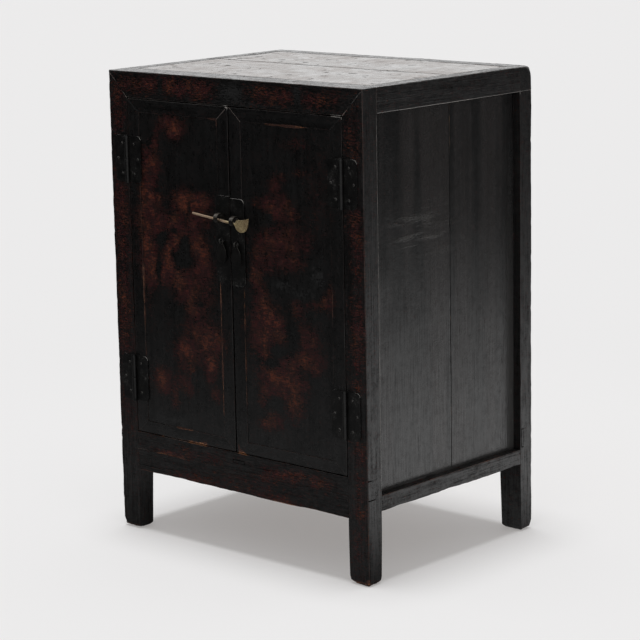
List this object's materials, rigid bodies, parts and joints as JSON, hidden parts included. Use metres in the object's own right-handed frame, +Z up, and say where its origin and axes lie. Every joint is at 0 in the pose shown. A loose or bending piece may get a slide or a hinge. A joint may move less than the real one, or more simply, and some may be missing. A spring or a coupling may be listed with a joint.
{
  "type": "kang cabinet",
  "caption": "Low lacquered wooden cabinet on square legs, with flush double doors, strap hinges, eyed lock plates, drop pulls and a sliding lock pin.",
  "frame": {"origin": "On the floor, under the middle of the whole object's box, lock eyes included", "axes": "+X to the right of the doors seen from the front, +Y from the doors to the back, +Z up"},
  "size_m": [0.578, 0.457, 0.812],
  "materials": {
    "lacquered_wood": "worn lacquer, satin",
    "bare_wood": "old unlacquered wood, matt",
    "iron": "dark rubbed iron",
    "brass": "aged, rubbed at the edges"
  },
  "bodies": {
    "carcass": {"front_left_post": "lacquered_wood", "front_right_post": "lacquered_wood", "rear_left_post": "lacquered_wood", "rear_right_post": "lacquered_wood", "top_left_rail": "lacquered_wood", "top_right_rail": "lacquered_wood", "bottom_left_rail": "lacquered_wood", "bottom_right_rail": "lacquered_wood", "left_side_board_front": "lacquered_wood", "left_side_board_rear": "lacquered_wood", "right_side_board_front": "lacquered_wood", "right_side_board_rear": "lacquered_wood", "left_side_batten": "bare_wood", "right_side_batten": "bare_wood", "top_front_rail": "lacquered_wood", "top_rear_rail": "lacquered_wood", "top_board_front": "lacquered_wood", "top_board_rear": "lacquered_wood", "top_batten": "bare_wood", "bottom_front_rail": "lacquered_wood", "front_apron": "lacquered_wood", "bottom_rear_rail": "lacquered_wood", "back_board_left": "bare_wood", "back_board_middle": "bare_wood", "back_board_right": "bare_wood", "back_batten": "bare_wood", "floor_board_front": "bare_wood", "floor_board_rear": "bare_wood", "floor_bearers": "bare_wood", "shelf_board": "bare_wood", "hinge_pins": "iron", "post_hinge_leaves": "iron", "post_hinge_nails": "iron"},
    "left_door": {"left_door_hinge_stile": "lacquered_wood", "left_door_meeting_stile": "lacquered_wood", "left_door_top_rail": "lacquered_wood", "left_door_bottom_rail": "lacquered_wood", "left_door_panel": "lacquered_wood", "left_door_batten": "bare_wood", "left_door_hinge_leaves": "iron", "left_door_hinge_nails": "iron", "left_lock_plate": "iron", "left_lock_eye": "iron", "left_pull_eye": "iron"},
    "right_door": {"right_door_hinge_stile": "lacquered_wood", "right_door_meeting_stile": "lacquered_wood", "right_door_top_rail": "lacquered_wood", "right_door_bottom_rail": "lacquered_wood", "right_door_panel": "lacquered_wood", "right_door_batten": "bare_wood", "right_door_hinge_leaves": "iron", "right_door_hinge_nails": "iron", "right_lock_plate": "iron", "right_lock_eye": "iron", "right_pull_eye": "iron"},
    "left_pull": {"left_pull": "brass"},
    "right_pull": {"right_pull": "brass"},
    "lock_pin": {"lock_pin": "brass"}
  },
  "joints": [
    {"name": "left_door_hinge", "type": "hinge", "parent": "carcass", "child": "left_door", "pos_m": [-0.24525, -0.2118, 0.4], "axis": [0, 0, -1], "range_deg": [0, 170]},
    {"name": "right_door_hinge", "type": "hinge", "parent": "carcass", "child": "right_door", "pos_m": [0.24525, -0.2118, 0.4], "axis": [0, 0, 1], "range_deg": [0, 170]},
    {"name": "left_pull_swing", "type": "hinge", "parent": "left_door", "child": "left_pull", "pos_m": [-0.0218, -0.214, 0.5415], "axis": [-1, 0, 0], "range_deg": [-6, 110]},
    {"name": "right_pull_swing", "type": "hinge", "parent": "right_door", "child": "right_pull", "pos_m": [0.0118, -0.214, 0.5389], "axis": [-1, 0, 0], "range_deg": [-6, 110]},
    {"name": "lock_pin_slide", "type": "slide", "parent": "right_door", "child": "lock_pin", "axis": [0.9918, -0.1119, -0.062], "range_m": [0, 0.105]}
  ]
}
